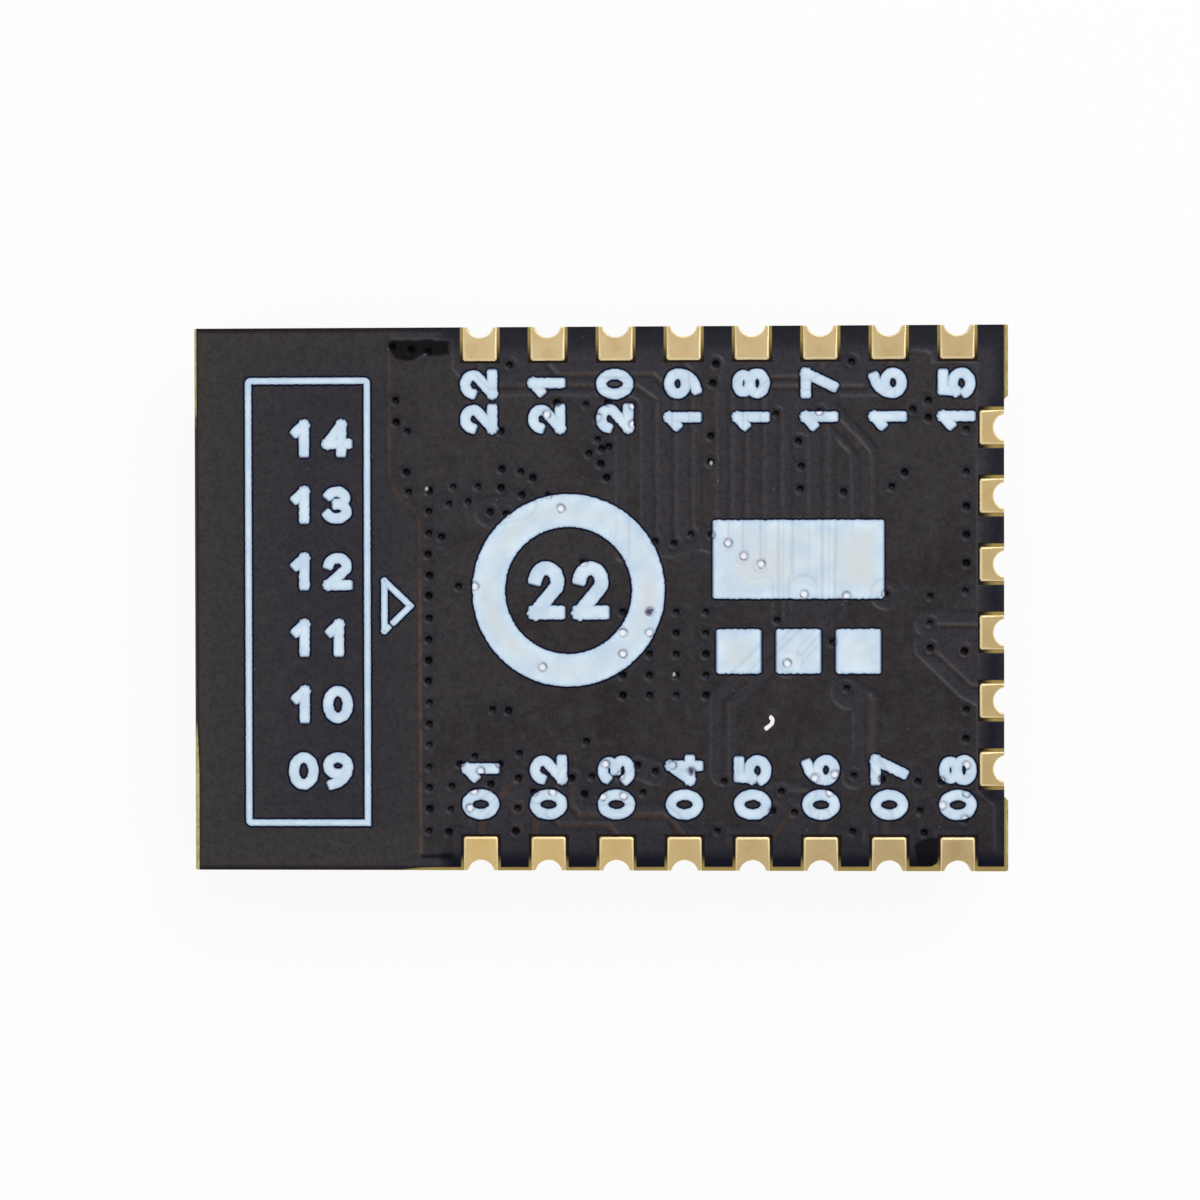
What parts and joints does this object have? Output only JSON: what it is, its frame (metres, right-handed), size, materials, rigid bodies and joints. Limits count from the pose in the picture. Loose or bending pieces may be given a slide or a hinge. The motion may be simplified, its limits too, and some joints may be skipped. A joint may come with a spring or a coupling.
{
  "type": "microcontroller module",
  "caption": "Surface-mount radio microcontroller module, solder side up: black board with gold half-hole pads on three edges, printed antenna and shield can.",
  "frame": {"origin": "on the floor under the middle of the board, which lies on the shield can's flat face", "axes": "+X towards the end with the short row of pads, +Y along the board's width, +Z out of the solder side"},
  "size_m": [0.024, 0.016, 0.0031],
  "materials": {
    "laminate": "cut glass laminate",
    "mask": "satin black solder mask",
    "gold": "thin gold over nickel",
    "copper": "etched copper",
    "shield": "satin tinned sheet",
    "solder": "bright solder",
    "package": "moulded epoxy",
    "crystal_tray": "fired ceramic",
    "crystal_lid": "plated sheet",
    "capacitor": "fired ceramic",
    "resistor": "glazed film",
    "legend": "printed white legend ink",
    "inductor": "ferrite"
  },
  "bodies": {
    "root": {"antenna_trace": "copper", "bulk_capacitor": "capacitor", "castellation_01": "gold", "castellation_02": "gold", "castellation_03": "gold", "castellation_04": "gold", "castellation_05": "gold", "castellation_06": "gold", "castellation_07": "gold", "castellation_08": "gold", "castellation_09": "gold", "castellation_10": "gold", "castellation_11": "gold", "castellation_12": "gold", "castellation_13": "gold", "castellation_14": "gold", "castellation_15": "gold", "castellation_16": "gold", "castellation_17": "gold", "castellation_18": "gold", "castellation_19": "gold", "castellation_20": "gold", "castellation_21": "gold", "castellation_22": "gold", "crystal_base": "crystal_tray", "crystal_lid": "crystal_lid", "crystal_load_capacitor_1": "capacitor", "crystal_load_capacitor_2": "capacitor", "decoupling_capacitor_1": "capacitor", "decoupling_capacitor_2": "capacitor", "decoupling_capacitor_3": "capacitor", "decoupling_capacitor_4": "capacitor", "decoupling_capacitor_5": "capacitor", "laminate_board": "laminate", "pullup_resistor_1": "resistor", "pullup_resistor_2": "resistor", "pullup_resistor_3": "resistor", "pullup_resistor_4": "resistor", "rf_match_capacitor_1": "capacitor", "rf_match_capacitor_2": "capacitor", "rf_match_inductor": "inductor", "shield_can": "shield", "shield_solder_1": "solder", "shield_solder_2": "solder", "shield_solder_3": "solder", "shield_solder_4": "solder", "shield_solder_5": "solder", "shield_solder_6": "solder", "shield_solder_7": "solder", "shield_solder_8": "solder", "soc_package": "package", "soc_thermal_pad": "solder", "solder_mask_back": "mask", "solder_mask_front": "mask", "supply_inductor": "inductor"}
  },
  "joints": []
}
